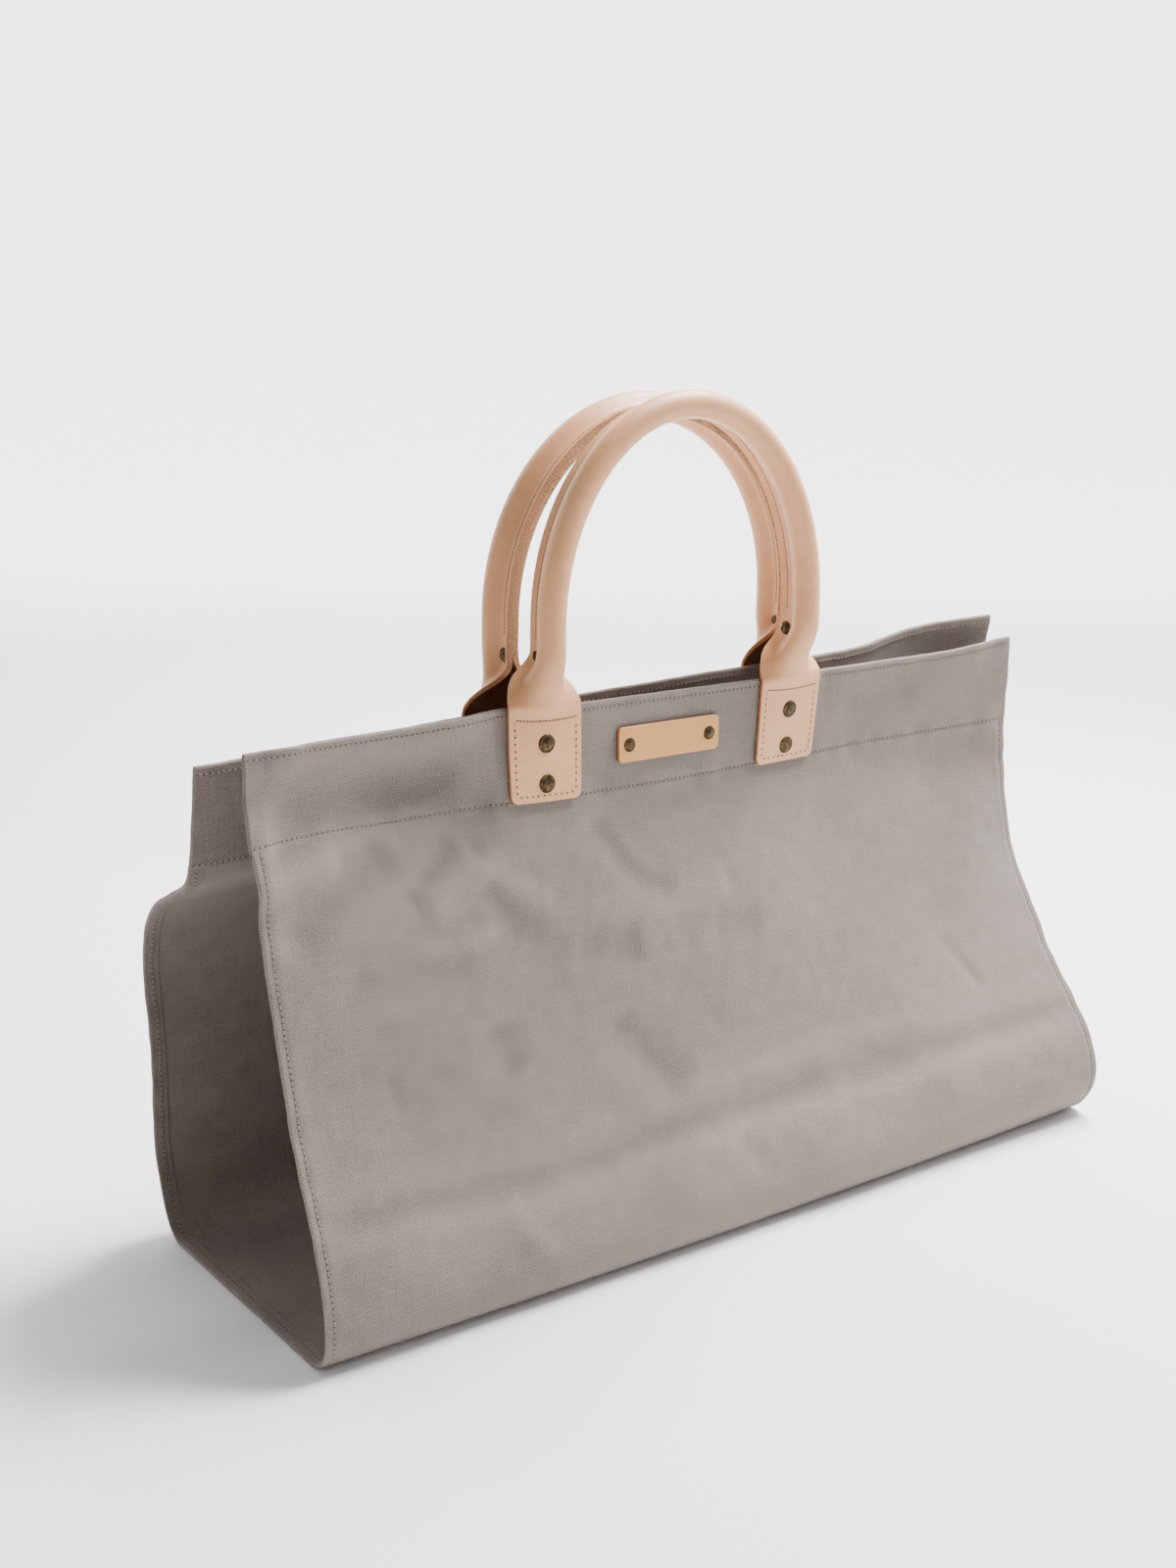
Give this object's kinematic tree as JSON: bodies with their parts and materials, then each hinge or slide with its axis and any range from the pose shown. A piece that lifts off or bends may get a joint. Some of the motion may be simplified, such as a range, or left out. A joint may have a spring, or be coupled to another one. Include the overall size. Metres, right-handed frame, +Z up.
{
  "type": "canvas log carrier",
  "caption": "Open-ended canvas sling that stands on its floor, with stitched top bands, rolled leather handles riveted through leather backings, and a bare leather tag.",
  "frame": {"origin": "the middle of the canvas floor's underside, where the carrier stands", "axes": "+X along the sling from its left open end to its right one, +Y from the tagged front panel to the back, +Z up"},
  "size_m": [0.6142, 0.2142, 0.5049],
  "materials": {
    "canvas": "matt cotton twill",
    "leather": "natural vegetable-tanned, satin",
    "tag_leather": "natural vegetable-tanned, satin",
    "old_brass": "antique"
  },
  "bodies": {
    "root": {"canvas_sling": "canvas", "top_band_front": "canvas", "top_band_back": "canvas", "handle_front": "leather", "handle_back": "leather", "backing_front_left": "leather", "backing_front_right": "leather", "backing_back_left": "leather", "backing_back_right": "leather", "leather_tag": "tag_leather", "rivet_front_left_upper": "old_brass", "rivet_front_left_lower": "old_brass", "rivet_front_right_upper": "old_brass", "rivet_front_right_lower": "old_brass", "rivet_back_left_upper": "old_brass", "rivet_back_left_lower": "old_brass", "rivet_back_right_upper": "old_brass", "rivet_back_right_lower": "old_brass", "seam_rivet_front_left": "old_brass", "seam_rivet_front_right": "old_brass", "seam_rivet_back_left": "old_brass", "seam_rivet_back_right": "old_brass", "tag_rivet_left": "old_brass", "tag_rivet_right": "old_brass"}
  },
  "joints": []
}
